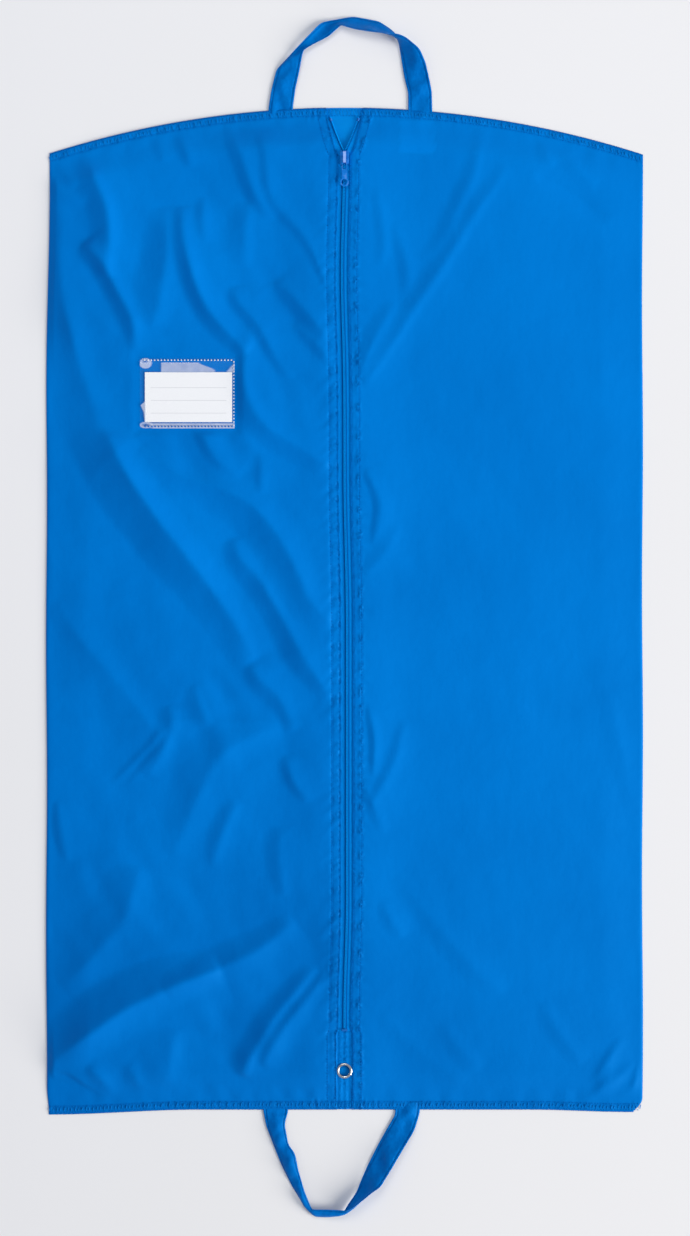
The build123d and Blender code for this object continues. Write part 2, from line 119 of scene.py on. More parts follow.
# Folds of the cloth: points (across, along), height, and widths on the left and the right side.
# Across is -1 at the left edge and 1 at the right; along is 0 at the bottom and 1 at the top.
# A height below 0 is a hollow.
FOLDS = (
    (((-0.87, 0.955), (-0.83, 0.925), (-0.797, 0.90), (-0.79, 0.865), (-0.785, 0.83)), 5.5, 22, 14),
    (((-0.87, 0.865), (-0.846, 0.858), (-0.797, 0.842), (-0.749, 0.8125), (-0.71, 0.784),
      (-0.696, 0.757)), 6.0, 14, 14),
    (((-0.955, 0.93), (-0.95, 0.84), (-0.915, 0.767), (-0.865, 0.725), (-0.81, 0.684), (-0.72, 0.634),
      (-0.63, 0.592), (-0.53, 0.555), (-0.42, 0.51), (-0.30, 0.45)), 11.5, 40, 24),
    (((-0.55, 0.90), (-0.53, 0.864), (-0.50, 0.829), (-0.45, 0.80), (-0.39, 0.775),
      (-0.33, 0.755)), 6.0, 15, 18),
    (((-0.60, 0.90), (-0.59, 0.86), (-0.62, 0.81), (-0.65, 0.78)), 4.0, 26, 22),
    (((-0.37, 0.82), (-0.35, 0.805), (-0.29, 0.782), (-0.24, 0.759), (-0.18, 0.73)), 3.4, 10, 20),
    (((-0.32, 0.785), (-0.335, 0.735), (-0.294, 0.70), (-0.25, 0.68), (-0.156, 0.663),
      (-0.04, 0.64)), 5.0, 20, 20),
    (((-0.385, 0.99), (-0.36, 0.96), (-0.33, 0.935), (-0.28, 0.91), (-0.23, 0.89)), 3.6, 12, 22),
    (((-0.31, 0.985), (-0.27, 0.95), (-0.22, 0.905), (-0.10, 0.85), (-0.04, 0.82)), 1.7, 7, 14),
    (((-0.23, 0.825), (-0.16, 0.81), (-0.10, 0.79), (-0.05, 0.765)), 2.4, 14, 16),
    (((-0.16, 0.785), (-0.10, 0.765), (-0.05, 0.745)), 1.6, 8, 12),
    (((-0.68, 0.66), (-0.53, 0.632), (-0.41, 0.62), (-0.295, 0.60), (-0.21, 0.568), (-0.156, 0.535),
      (-0.113, 0.51), (-0.04, 0.485)), 6.6, 30, 24),
    (((-0.37, 0.57), (-0.344, 0.552), (-0.28, 0.53), (-0.24, 0.51), (-0.183, 0.481), (-0.127, 0.447),
      (-0.05, 0.415)), 5.4, 20, 20),
    (((-0.50, 0.69), (-0.47, 0.676), (-0.42, 0.651), (-0.35, 0.632)), 2.2, 9, 18),
    (((-0.47, 0.91), (-0.475, 0.89), (-0.465, 0.865)), 1.6, 8, 10),
    (((-0.31, 0.905), (-0.325, 0.875), (-0.34, 0.84)), 2.2, 24, 12),
    (((-0.29, 0.655), (-0.28, 0.635), (-0.275, 0.615)), 1.5, 8, 12),
    (((-0.56, 0.985), (-0.535, 0.965), (-0.505, 0.94)), 2.0, 9, 10),
    (((-0.64, 0.98), (-0.62, 0.965), (-0.60, 0.945)), 1.4, 8, 10),
    (((-0.99, 0.965), (-0.955, 0.945), (-0.90, 0.92)), 2.6, 9, 10),
    (((-0.985, 0.94), (-0.94, 0.915), (-0.87, 0.905)), 2.4, 12, 12),
    (((-0.96, 0.51), (-0.92, 0.485), (-0.80, 0.443), (-0.66, 0.389), (-0.60, 0.375)), 3.2, 46, 20),
    (((-0.77, 0.327), (-0.68, 0.355), (-0.59, 0.383)), 1.1, 4, 5),
    (((-0.73, 0.322), (-0.66, 0.347), (-0.61, 0.363)), 0.8, 3, 6),
    (((-0.585, 0.405), (-0.575, 0.385), (-0.60, 0.36), (-0.66, 0.335)), 3.4, 17, 12),
    (((-0.51, 0.425), (-0.485, 0.405), (-0.455, 0.385)), 2.0, 14, 8),
    (((-0.31, 0.445), (-0.28, 0.431), (-0.225, 0.414), (-0.17, 0.38)), 3.0, 14, 16),
    (((-0.95, 0.393), (-0.60, 0.390), (-0.30, 0.3875), (-0.06, 0.385)), 0.9, 22, 6),
    (((-0.22, 0.385), (-0.35, 0.37), (-0.434, 0.348), (-0.504, 0.306), (-0.57, 0.255)), 3.4, 32, 26),
    (((-0.36, 0.31), (-0.40, 0.28), (-0.44, 0.245)), 2.2, 14, 12),
    (((-0.19, 0.355), (-0.165, 0.335), (-0.12, 0.31)), 2.6, 9, 16),
    (((-0.21, 0.285), (-0.225, 0.25), (-0.20, 0.215)), 2.2, 14, 20),
    (((-0.965, 0.31), (-0.955, 0.285), (-0.93, 0.25)), 3.2, 8, 12),
    (((-0.68, 0.245), (-0.70, 0.228), (-0.756, 0.186), (-0.88, 0.144), (-0.95, 0.125)), 3.6, 34, 24),
    (((-0.995, 0.035), (-0.978, 0.049), (-0.895, 0.07), (-0.797, 0.09), (-0.685, 0.111), (-0.56, 0.128),
      (-0.42, 0.144)), 12.0, 37, 26),
    (((-0.60, 0.122), (-0.42, 0.144), (-0.294, 0.161), (-0.16, 0.19)), 5.5, 22, 22),
    (((-0.34, 0.035), (-0.323, 0.049), (-0.26, 0.082), (-0.197, 0.111), (-0.10, 0.145)), 4.6, 16, 10),
    (((-0.27, 0.045), (-0.255, 0.06), (-0.21, 0.082), (-0.148, 0.107), (-0.06, 0.138)), 3.4, 9, 16),
    (((-0.565, 0.085), (-0.575, 0.065), (-0.59, 0.02)), 2.4, 30, 16),
    (((-0.86, 0.045), (-0.811, 0.034), (-0.75, 0.008)), 2.8, 12, 10),
    (((-0.72, 0.05), (-0.69, 0.03), (-0.64, 0.01)), 1.8, 12, 10),
    (((-0.45, 0.03), (-0.43, 0.015), (-0.40, 0.002)), 1.4, 9, 9),
    (((0.47, 0.99), (0.43, 0.935), (0.36, 0.885), (0.27, 0.845)), 1.5, 12, 7),
    (((0.5436, 0.941), (0.385, 0.868), (0.225, 0.794), (0.069, 0.721)), 2.2, 15, 8),
    (((0.11, 0.92), (0.135, 0.875), (0.12, 0.84)), 1.3, 9, 10),
    (((0.17, 0.885), (0.205, 0.845), (0.21, 0.81)), 1.5, 9, 10),
    (((0.17, 0.805), (0.11, 0.775), (0.05, 0.73)), 2.0, 14, 12),
    (((0.07, 0.64), (0.12, 0.605), (0.10, 0.565)), 2.0, 7, 16),
    (((0.18, 0.585), (0.13, 0.555), (0.07, 0.535)), 1.2, 12, 10),
    (((0.08, 0.405), (0.10, 0.37), (0.10, 0.335)), 1.6, 6, 10),
    (((0.20, 0.39), (0.165, 0.345), (0.09, 0.305)), 1.5, 9, 10),
    (((0.06, 0.33), (0.10, 0.305), (0.13, 0.28)), 1.2, 8, 10),
    (((0.17, 0.235), (0.30, 0.19), (0.43, 0.145), (0.53, 0.12)), 1.5, 16, 20),
    (((0.12, 0.21), (0.16, 0.19), (0.20, 0.175)), 1.2, 9, 10),
    (((0.66, 0.11), (0.73, 0.075), (0.80, 0.05)), 1.3, 12, 14),
    (((0.33, 0.09), (0.40, 0.06), (0.46, 0.045)), 1.2, 14, 14),
    (((0.12, 0.10), (0.24, 0.065), (0.40, 0.03)), 1.2, 18, 16),
    (((0.82, 0.01), (0.90, 0.03), (0.97, 0.05)), 1.8, 7, 9),
    (((0.86, 0.0), (0.93, 0.015), (0.99, 0.035)), 1.5, 6, 8),
    (((0.655, 0.97), (0.675, 0.956), (0.697, 0.941)), 1.5, 10, 10),
    (((0.641, 0.933), (0.766, 0.912), (0.879, 0.887)), -1.5, 14, 14),
    (((0.80, 0.0), (0.85, 0.02), (0.90, 0.045)), 1.6, 6, 7),
    (((0.84, 0.03), (0.88, 0.05), (0.93, 0.075)), 1.5, 6, 7),
    (((0.93, 0.0), (0.96, 0.02), (0.99, 0.05)), 1.8, 5, 6),
    (((0.70, 0.965), (0.76, 0.945), (0.84, 0.92)), 1.3, 12, 14),
    (((0.88, 0.42), (0.93, 0.36), (0.97, 0.30)), 1.2, 16, 14),
)


# ---- shape helpers


def ease(t):
    """Smooth step from 0 to 1."""
    t = np.clip(t, 0, 1)
    return t * t * (3 - 2 * t)


def mix(a, b, t):
    """Between a and b."""
    return a + (b - a) * t


def bell(t):
    """Smooth bump: 1 at 0, falling away on both sides."""
    return np.exp(-(t**2))


def waves(seed, count, shortest, longest, heading=0.0, spread=math.pi):
    """A smooth uneven field of about unit height, as a function of x and y."""
    rng = np.random.default_rng(seed)
    length = shortest * (longest / shortest) ** rng.random(count)
    angle = heading + spread * (rng.random(count) - 0.5)
    phase = rng.random(count) * 2 * math.pi
    weight = length / np.sqrt((length**2).sum() / 2)
    across = 2 * math.pi * np.cos(angle) / length
    along = 2 * math.pi * np.sin(angle) / length

    def field(x, y):
        total = np.zeros(np.broadcast(x, y).shape)
        for a, b, c, w in zip(across, along, phase, weight):
            total += w * np.cos(a * x + b * y + c)
        return total

    return field


def smooth_path(points, steps):
    """Points on a smooth curve through the given points."""
    p = np.array(points, float)
    p = np.vstack([2 * p[0] - p[1], p, 2 * p[-1] - p[-2]])
    path = []
    for i in range(1, len(p) - 2):
        t = np.linspace(0, 1, steps, endpoint=False)[:, None]
        a, b, c, d = p[i - 1], p[i], p[i + 1], p[i + 2]
        path.append(
            0.5 * (2 * b + (c - a) * t + (2 * a - 5 * b + 4 * c - d) * t**2 + (3 * b - a - 3 * c + d) * t**3)
        )
    return np.vstack(path + [p[-2:-1]])


def nearest_on_path(x, y, path):
    """Signed distance to a path, positive on its right side, and how far along it, from 0 to 1."""
    best = np.full(x.shape, np.inf)
    side = np.ones(x.shape)
    place = np.zeros(x.shape)
    for i in range(len(path) - 1):
        ax, ay = path[i]
        dx, dy = path[i + 1] - path[i]
        t = np.clip(((x - ax) * dx + (y - ay) * dy) / (dx * dx + dy * dy), 0, 1)
        ox = x - (ax + t * dx)
        oy = y - (ay + t * dy)
        distance = ox * ox + oy * oy
        closer = distance < best
        best = np.where(closer, distance, best)
        side = np.where(closer, np.sign(ox * abs(dy) + 1e-9 - oy * dx * np.sign(dy)), side)
        place = np.where(closer, (i + t) / (len(path) - 1), place)
    return np.sqrt(best) * side, place


# ---- form of the bag


def top_edge(x):
    """Y of the shoulder seam."""
    return TOP_Y - ARC_RADIUS + np.sqrt(ARC_RADIUS**2 - x**2)


def bottom_edge(x):
    """Y of the bottom seam, which droops a little at its left end."""
    return BOTTOM_Y + 2.2 - 5.0 * ease((-x - 150) / 150) - 2.4 * ease((x - 190) / 100)


def end_distance(x, y):
    """Distance from the nearer sewn end."""
    return np.minimum(top_edge(x) - y, y - bottom_edge(x))


def side_edge(sign, y):
    """Distance of a side fold from the zipper."""
    taper = 3.0 * ease((y - 200) / 280) + 2.0 * ease((BOTTOM_Y + 25 - y) / 25)
    if sign > 0:
        taper = 9.0 * np.clip((BOTTOM_Y + 15 - y) / 14, 0, 1) ** 2
    return HALF_WIDTH - taper - 0.5 - 0.5 * np.sin(y / 47.0 + sign)


def bow(y):
    """Sideways wander of the zipper's line, fading out towards both ends of the slider's way."""
    return BOW * ease((150 - y) / 160) * ease((y + 408) / 120) - BOW * bell((y - 350) / 75)


def lip_edge(y):
    """Distance of a panel's inner edge from the zipper's middle."""
    strip = STRIP_X - LIP_X
    vee = (VEE_X - LIP_X) * np.clip((y - VEE_Y) / (TOP_Y - VEE_Y), 0, 1) ** 0.75
    return LIP_X + strip * ease((ZIP_END_Y + 2 - y) / 4) + vee


rolling = waves(3, 24, 90, 260)
diagonal = waves(5, 26, 22, 70, heading=math.radians(35), spread=math.radians(50))
patches = waves(7, 12, 120, 300)
creases = waves(9, 26, 14, 45)
bends = waves(10, 16, 50, 110)
zip_fine = waves(11, 16, 4.5, 8, heading=math.pi / 2, spread=0.5)
zip_broad = waves(12, 16, 9, 26, heading=math.pi / 2, spread=0.9)
hem_fine = waves(13, 16, 4.5, 8, heading=0.0, spread=0.4)
hem_broad = waves(14, 16, 12, 34, heading=0.0, spread=0.9)


def fold_heights(x, y):
    """Sum of the folds: each a crisp crest with a long gentle slope on its right side."""
    total = np.zeros(x.shape)
    for points, height, left, right in FOLDS:
        control = [(a * HALF_WIDTH, BOTTOM_Y + b * LENGTH) for a, b in points]
        path = smooth_path(control, 10)
        tail = right * TAIL
        reach = max(left, tail) + 4
        near = (x > path[:, 0].min() - reach) & (x < path[:, 0].max() + reach)
        near &= (y > path[:, 1].min() - reach) & (y < path[:, 1].max() + reach)
        if not near.any():
            continue
        nx, ny = x[near], y[near]
        wobble = np.where(nx < 0, 1.2, 0.6) * bends(nx, ny)
        distance, place = nearest_on_path(nx + wobble, ny, path)
        swell = np.sin(math.pi * np.clip(place, 0, 1)) ** 0.6
        narrow = 0.45 + 0.55 * swell
        crest = np.sqrt(distance**2 + 4) - 2
        rising = np.clip(1 - crest / (left * narrow), 0, 1) ** 1.3
        falling = 0.4 * np.clip(1 - crest / (right * narrow), 0, 1) ** 1.8
        falling += 0.6 * np.clip(1 - crest / (tail * narrow), 0, 1) ** 1.6
        total[near] += FOLD_LIFT * height * np.where(distance < 0, rising, falling) * swell
    return total


def box_area(x, y, a, b, margin):
    """1 inside the box from a to b, falling to 0 a margin away from it."""
    outside = np.maximum(np.maximum(a.x - x, x - b.x), np.maximum(a.y - y, y - b.y))
    return 1 - ease(outside / margin)


def soft_floor(z, floor, softness):
    """Keeps z above a floor, with a rounded join."""
    return floor + softness * np.logaddexp(0, (z - floor) / softness)


def soft_ceiling(z, ceiling, softness):
    """Keeps z below a ceiling, with a rounded join."""
    return -soft_floor(-z, -ceiling, softness)


def front_z(x, y):
    """Height of the front cloth."""
    x = np.asarray(x, float)
    y = np.asarray(y, float)
    reach = np.abs(x - bow(y))
    side = np.where(x < 0, side_edge(-1, y), side_edge(1, y)) - np.abs(x)
    end = end_distance(x, y)
    left = ease((-x - 5) / 30)
    pocket_a, pocket_b = low("id_window"), high("id_window")
    card_a, card_b = low("id_card"), high("id_card")

    body = mix(LIP_Z + 0.1, BODY_Z, ease((reach - 14) / 60))
    body = mix(body, SIDE_Z, ease((reach - 170) / 110))
    body = mix(body, LIP_Z - 0.1, box_area(x, y, pocket_a, pocket_b, 60))
    loose = ease((reach - 7) / 14) * ease(side / 8) * ease((end - 5) / 16)
    loose *= 1 - box_area(x, y, pocket_a, pocket_b, 9)
    pulled = Vector((card_a.x - CARD_PULL, card_a.y, 0)), Vector((card_a.x - 25, card_b.y, 0))
    card_way = box_area(x, y, *pulled, 55)
    body += loose * fold_heights(x, y) * (1 - 0.55 * card_way) - 1.2 * card_way
    body += loose * mix(0.22, 0.6, left) * rolling(x, y)
    body += loose * mix(0.06, 0.26, left) * diagonal(x, y) * (0.6 + 0.5 * patches(x, y))
    body += loose * mix(0.03, 0.09, left) * creases(x, y)
    body = soft_floor(body, 1.5, 0.5)
    body = mix(body, soft_ceiling(body, CARD_WAY_Z, 0.5), box_area(x, y, *pulled, 18))

    seam = bell((reach - 11) / 5)
    body += 0.3 * seam * zip_fine(x, y + 0.6 * reach)
    fan = bell((reach - 14) / 9) * ease((reach - 7) / 5)
    body += mix(0.16, 0.3, left) * fan * zip_broad(x, y + 0.6 * reach)
    for row in STITCH_ROWS:
        body -= 0.35 * bell((reach - row) / 0.8)

    band = 0.3 * hem_fine(x, y) * bell((end - 6) / 5)
    band += mix(0.12, 0.2, left) * hem_broad(x, y) * bell((end - 15) / 9)
    for row in (2.2, HEM - 0.6):
        band -= 0.3 * bell((end - row) / 0.8)
    hem = HEM_Z * np.clip(end / 1.6, 0, 1) ** 0.4
    body = mix(hem, body, ease((end - 7) / 34)) + band * ease(end / 2)

    rim = 0.4 * (1 - np.exp(-side / 0.9)) + 0.6 * ease(side / 46)
    body = BACK_Z + (body - BACK_Z) * np.where(side > 0, rim, 0)
    return np.maximum(body, BACK_Z)


# ---- mesh helpers


def new_object(name, vertices, faces, material):
    """Smooth-shaded object from points in millimetres."""
    mesh = bpy.data.meshes.new(name)
    mesh.from_pydata((np.asarray(vertices) * MM).tolist(), [], np.asarray(faces).tolist())
    mesh.polygons.foreach_set("use_smooth", [True] * len(mesh.polygons))
    mesh.materials.append(material)
    mesh.update()
    obj = bpy.data.objects.new(name, mesh)
    bpy.context.scene.collection.objects.link(obj)
    return obj


def grid_faces(rows, columns, first=0, wrap=False):
    """Quads of a grid of points; wrap joins its last column to its first."""
    index = first + np.arange(rows * columns).reshape(rows, columns)
    if wrap:
        index = np.hstack([index, index[:, :1]])
    quads = [index[:-1, :-1], index[:-1, 1:], index[1:, 1:], index[1:, :-1]]
    return np.stack(quads, -1).reshape(-1, 4)


def grid_object(name, points, material):
    """Sheet from an array of rows x columns x 3 points."""
    rows, columns = points.shape[:2]
    return new_object(name, points.reshape(-1, 3), grid_faces(rows, columns), material)


def tube(path, radius, sides, outwards):
    """Vertices and faces of a round wire along a path; outwards points from its axis at each point."""
    tangent = np.gradient(path, axis=0)
    tangent /= np.linalg.norm(tangent, axis=1, keepdims=True)
    normal = outwards - (outwards * tangent).sum(1, keepdims=True) * tangent
    normal /= np.linalg.norm(normal, axis=1, keepdims=True)
    other = np.cross(tangent, normal)
    angle = np.arange(sides) * 2 * math.pi / sides
    ring = np.cos(angle)[None, :, None] * normal[:, None] + np.sin(angle)[None, :, None] * other[:, None]
    points = path[:, None] + radius * ring
    return points.reshape(-1, 3), grid_faces(len(path), sides, wrap=True)


def set_field(obj, name, values):
    """Stores a number at each point: tone is lighter or darker, partly painted shade and painted
    highlight; pucker is how gathered a seam is, and also how much shade is painted in its gathers.
    """
    field = obj.data.attributes.new(name, "FLOAT", "POINT")
    field.data.foreach_set("value", np.asarray(values, np.float32).ravel())


def across_fold(obj):
    """Bakes the object's transform into its mesh."""
    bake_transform(obj)


# ---- materials


class Nodes:
    """Short way to build a material's node tree."""

    def __init__(self, name, **settings):
        self.material = bpy.data.materials.new(name)
        self.material.use_nodes = True
        self.tree = self.material.node_tree
        self.shader = self.tree.nodes["Principled BSDF"]
        for socket, value in settings.items():
            self.shader.inputs[socket.replace("_", " ")].default_value = value
        self.place = self.add("ShaderNodeTexCoord").outputs["Object"]

    def add(self, kind, **settings):
        """A new node with its properties set."""
        node = self.tree.nodes.new(kind)
        for key, value in settings.items():
            setattr(node, key, value)
        return node

    def tint(self, color):
        """Colours the gloss and the sheen."""
        self.shader.inputs["Specular Tint"].default_value = color
        self.shader.inputs["Sheen Tint"].default_value = color

    def link(self, output, node, socket):
        """Joins an output to a node's input."""
        self.tree.links.new(output, node.inputs[socket])

    def field(self, name):
        """A number stored at each point by set_field."""
        return self.add("ShaderNodeAttribute", attribute_name=name).outputs["Fac"]

    def noise(self, scale, detail=3.0, roughness=0.5, stretch=(1, 1, 1), turn=0.0):
        """Noise from 0 to 1, with features about 1/scale metres across."""
        mapping = self.add("ShaderNodeMapping")
        mapping.inputs["Scale"].default_value = stretch
        mapping.inputs["Rotation"].default_value = (0, 0, turn)
        self.link(self.place, mapping, "Vector")
        node = self.add("ShaderNodeTexNoise")
        node.inputs["Scale"].default_value = scale
        node.inputs["Detail"].default_value = detail
        node.inputs["Roughness"].default_value = roughness
        self.link(mapping.outputs[0], node, "Vector")
        return node.outputs["Fac"]

    def bands(self, scale, direction):
        """Even ribs, 0.314/scale metres apart."""
        node = self.add("ShaderNodeTexWave", wave_type="BANDS", bands_direction=direction)
        node.inputs["Scale"].default_value = scale
        self.link(self.place, node, "Vector")
        return node.outputs["Fac"]

    def math(self, operation, a, b):
        """Adds, multiplies or otherwise joins two values or outputs."""
        node = self.add("ShaderNodeMath", operation=operation)
        for socket, value in zip(node.inputs, (a, b)):
            if isinstance(value, (int, float)):
                socket.default_value = value
            else:
                self.tree.links.new(value, socket)
        return node.outputs[0]

    def ramp(self, factor, stops):
        """Colours at places between 0 and 1."""
        node = self.add("ShaderNodeValToRGB")
        elements = node.color_ramp.elements
        while len(elements) < len(stops):
            elements.new(0.5)
        for element, (position, color) in zip(elements, stops):
            element.position = position
            element.color = (*color, 1)
        self.link(factor, node, "Fac")
        return node.outputs["Color"]

    def colour(self, output):
        """Sets the base colour."""
        self.link(output, self.shader, "Base Color")

    def roughness(self, factor, smooth, rough):
        """Roughness between two values."""
        node = self.add("ShaderNodeMapRange")
        node.inputs["To Min"].default_value = smooth
        node.inputs["To Max"].default_value = rough
        self.link(factor, node, "Value")
        self.link(node.outputs[0], self.shader, "Roughness")

    def bumps(self, *layers):
        """Bump layers, each an output and its depth in metres."""
        previous = None
        for output, depth in layers:
            node = self.add("ShaderNodeBump")
            node.inputs["Distance"].default_value = depth
            self.link(output, node, "Height")
            if previous:
                self.link(previous, node, "Normal")
            previous = node.outputs["Normal"]
        self.link(previous, self.shader, "Normal")


def shade(color, factor):
    """A colour made lighter or darker."""
    return tuple(c * factor for c in color)


CLOTH_BLUE = (0.0, 0.172, 0.595)
CLOTH_LIGHT = (0.002, 0.27, 0.76)
SILK_TINT = (0.0, 0.6, 1.0, 1)

# In metres: where the painted highlight on the slider's crown starts and where it is palest, and the
# half sizes of the card's ruled lines, which lie at these shares of its height.
CROWN_FOOT = 0.0117
CROWN_TOP = 0.0136
RULED_LINES = (0.18, 0.435, 0.69)
RULED_HALF_LENGTH = 0.0385
RULED_HALF_WIDTH = 0.00022


def cloth_material(name, blue, crinkle=1.0):
    """Thin taffeta: fine weave, faint slubs, small crinkles and a blue satin sheen."""
    n = Nodes(name, Specular_IOR_Level=0.25, Sheen_Weight=0.06, Sheen_Roughness=0.45)
    n.tint(SILK_TINT)
    tone = n.field("tone")
    uneven = n.noise(7, 2)
    slubs = n.noise(60, 2, stretch=(1, 14, 1))
    pucker_and_shade = n.field("pucker_and_shade")
    dashes = n.noise(330, 2, stretch=(1, 0.7, 1), turn=0.6)
    level = n.math("MULTIPLY_ADD", uneven, 0.22)
    level.node.inputs[2].default_value = 0.2
    level = n.math("ADD", level, n.math("MULTIPLY", slubs, 0.012))
    level = n.math("ADD", level, tone)
    # Painted shade: dark dashes in the gathers along the stitched seams.
    level = n.math("ADD", level, n.math("MULTIPLY", pucker_and_shade, n.math("SUBTRACT", dashes, 0.64)))
    stops = [(0.0, (0.0, 0.09, 0.37)), (0.34, blue), (0.62, shade(blue, 1.1)), (1.0, CLOTH_LIGHT)]
    n.colour(n.ramp(level, stops))
    n.roughness(n.noise(25, 3), 0.42, 0.58)
    small = n.noise(55, 4, 0.55)
    streaks = n.noise(38, 3, 0.5, stretch=(1, 0.3, 1), turn=0.6)
    n.bumps(
        (small, 0.0005 * crinkle),
        (streaks, 0.0005 * crinkle),
        (n.math("MULTIPLY", pucker_and_shade, dashes), 0.0016),
        (n.bands(520, "X"), 0.00002),
        (n.bands(520, "Y"), 0.00002),
    )
    return n.material


def tape_material():
    """Woven zipper tape: fine ribs along its length and a duller face."""
    n = Nodes("zipper_tape_weave", Specular_IOR_Level=0.3, Sheen_Weight=0.1)
    n.tint(SILK_TINT)
    weave = n.math("MULTIPLY", n.bands(330, "X"), n.bands(420, "Y"))
    tone = n.field("tone")
    level = n.math("ADD", tone, n.math("MULTIPLY", weave, 0.12))
    n.colour(n.ramp(level, [(0.0, (0.0, 0.08, 0.36)), (1.0, (0.0, 0.25, 0.78))]))
    n.roughness(n.noise(80), 0.6, 0.8)
    n.bumps((weave, 0.00012), (n.noise(300), 0.0001))
    return n.material


def coil_material():
    """Nylon coil: smooth, with a painted highlight where its teeth meet and painted shade in its sewn outer
    bends.
    """
    n = Nodes("nylon_coil", Specular_IOR_Level=0.4)
    n.tint(SILK_TINT)
    tone = n.field("tone")
    level = n.math("ADD", tone, n.math("MULTIPLY", n.noise(90, 2), 0.2))
    n.colour(n.ramp(level, [(0.1, (0.0, 0.05, 0.27)), (1.1, (0.0, 0.36, 0.95))]))
    n.roughness(n.noise(150), 0.35, 0.5)
    n.bumps((n.noise(900, 2), 0.00004))
    return n.material


def enamel_material(name, crown_highlight, coat):
    """Blue enamel on the slider or its tab; the second argument is how much paler it is painted
    above its plate, as a painted highlight on the crown.
    """
    n = Nodes(name, Specular_IOR_Level=0.35, Coat_Weight=coat, Coat_Roughness=0.15)
    n.tint(SILK_TINT)
    split = n.add("ShaderNodeSeparateXYZ")
    n.link(n.place, split, "Vector")
    # Painted highlight: the enamel is painted paler towards the top of the crown.
    raised = n.add("ShaderNodeMapRange")
    raised.inputs["From Min"].default_value = CROWN_FOOT
    raised.inputs["From Max"].default_value = CROWN_TOP
    raised.inputs["To Max"].default_value = crown_highlight
    n.link(split.outputs["Z"], raised, "Value")
    level = n.math("ADD", n.math("MULTIPLY", n.noise(260, 4, 0.6), 0.7), raised.outputs[0])
    stops = [(0.2, (0.003, 0.09, 0.42)), (0.42, (0.01, 0.17, 0.62)), (0.95, (0.3, 0.44, 0.86))]
    n.colour(n.ramp(level, stops))
    n.roughness(n.noise(400, 3), 0.25, 0.42)
    n.bumps((n.noise(700, 2), 0.00003))
    return n.material


def nickel_material():
    """Polished nickel plate with fine turning marks and specks."""
    n = Nodes("eyelet_nickel", Metallic=1.0)
    n.colour(n.ramp(n.noise(220, 4), [(0.35, (0.62, 0.6, 0.56)), (0.7, (0.88, 0.86, 0.82))]))
    n.roughness(n.noise(500, 3), 0.14, 0.28)
    n.bumps((n.noise(1200, 2), 0.00002))
    return n.material


def stop_material():
    """Painted metal stops."""
    n = Nodes("stop_paint", Metallic=0.3, Specular_IOR_Level=0.5)
    blue = (0.001, 0.15, 0.54)
    n.colour(n.ramp(n.noise(500, 3), [(0.3, shade(blue, 0.8)), (0.8, shade(blue, 1.2))]))
    n.roughness(n.noise(300), 0.3, 0.5)
    n.bumps((n.noise(900), 0.00003))
    return n.material


def thread_material(name, color, tint=(1, 1, 1, 1)):
    """Twisted sewing thread."""
    n = Nodes(name, Sheen_Weight=0.1, Specular_IOR_Level=0.3)
    n.tint(tint)
    n.colour(n.ramp(n.noise(900, 2), [(0.3, shade(color, 0.75)), (0.7, color)]))
    n.roughness(n.noise(300), 0.5, 0.7)
    n.bumps((n.bands(700, "DIAGONAL"), 0.00005))
    return n.material


def card_material():
    """White card with three faint ruled lines."""
    a, b = low("id_card"), high("id_card")
    n = Nodes("card_paper", Specular_IOR_Level=0.3)
    split = n.add("ShaderNodeSeparateXYZ")
    n.link(n.place, split, "Vector")
    ruled = 0.0
    for fraction in RULED_LINES:
        y = mix(a.y, b.y, fraction) * MM
        away = n.math("ABSOLUTE", n.math("SUBTRACT", split.outputs["Y"], y), 0)
        ruled = n.math("ADD", n.math("LESS_THAN", away, RULED_HALF_WIDTH), ruled)
    from_middle = n.math("SUBTRACT", split.outputs["X"], (a.x + b.x) / 2 * MM)
    inside = n.math("LESS_THAN", n.math("ABSOLUTE", from_middle, 0), RULED_HALF_LENGTH)
    line = n.math("MULTIPLY", n.math("MULTIPLY", ruled, inside), 0.9)
    grain = n.math("MULTIPLY", n.noise(700, 3), 0.08)
    n.colour(n.ramp(n.math("ADD", line, grain), [(0.0, (0.86, 0.87, 0.88)), (0.9, (0.6, 0.61, 0.63))]))
    n.roughness(n.noise(300), 0.5, 0.65)
    n.bumps((n.noise(1500, 2), 0.00002))
    return n.material


def vinyl_material():
    """Clear soft vinyl: see-through and glossy, and painted white where the tone says so,
    at its cut edges and as painted reflections.
    """
    n = Nodes("clear_vinyl", Specular_IOR_Level=0.5, IOR=1.45)
    n.colour(n.ramp(n.noise(40, 2), [(0.3, (0.72, 0.78, 0.9)), (0.7, (0.8, 0.85, 0.95))]))
    # Painted reflections and white cut edges: the tone raises the alpha of the whitish colour.
    painted_white = n.field("tone")
    streaks = n.math("MULTIPLY_ADD", n.noise(160, 3), 0.5)
    streaks.node.inputs[2].default_value = 0.75
    alpha = n.math("ADD", n.math("MULTIPLY", painted_white, streaks), 0.012)
    n.link(alpha, n.shader, "Alpha")
    n.roughness(n.noise(60, 2), 0.08, 0.16)
    n.bumps((n.noise(35, 3), 0.0006), (n.noise(130, 2), 0.0002))
    return n.material


def label_material():
    """Pale woven label."""
    n = Nodes("label_weave", Sheen_Weight=0.2)
    weave = n.math("MULTIPLY", n.bands(400, "X"), n.bands(400, "Y"))
    n.colour(n.ramp(weave, [(0.0, (0.5, 0.6, 0.75)), (1.0, (0.7, 0.78, 0.88))]))
    n.roughness(n.noise(80), 0.6, 0.8)
    n.bumps((weave, 0.0001))
    return n.material


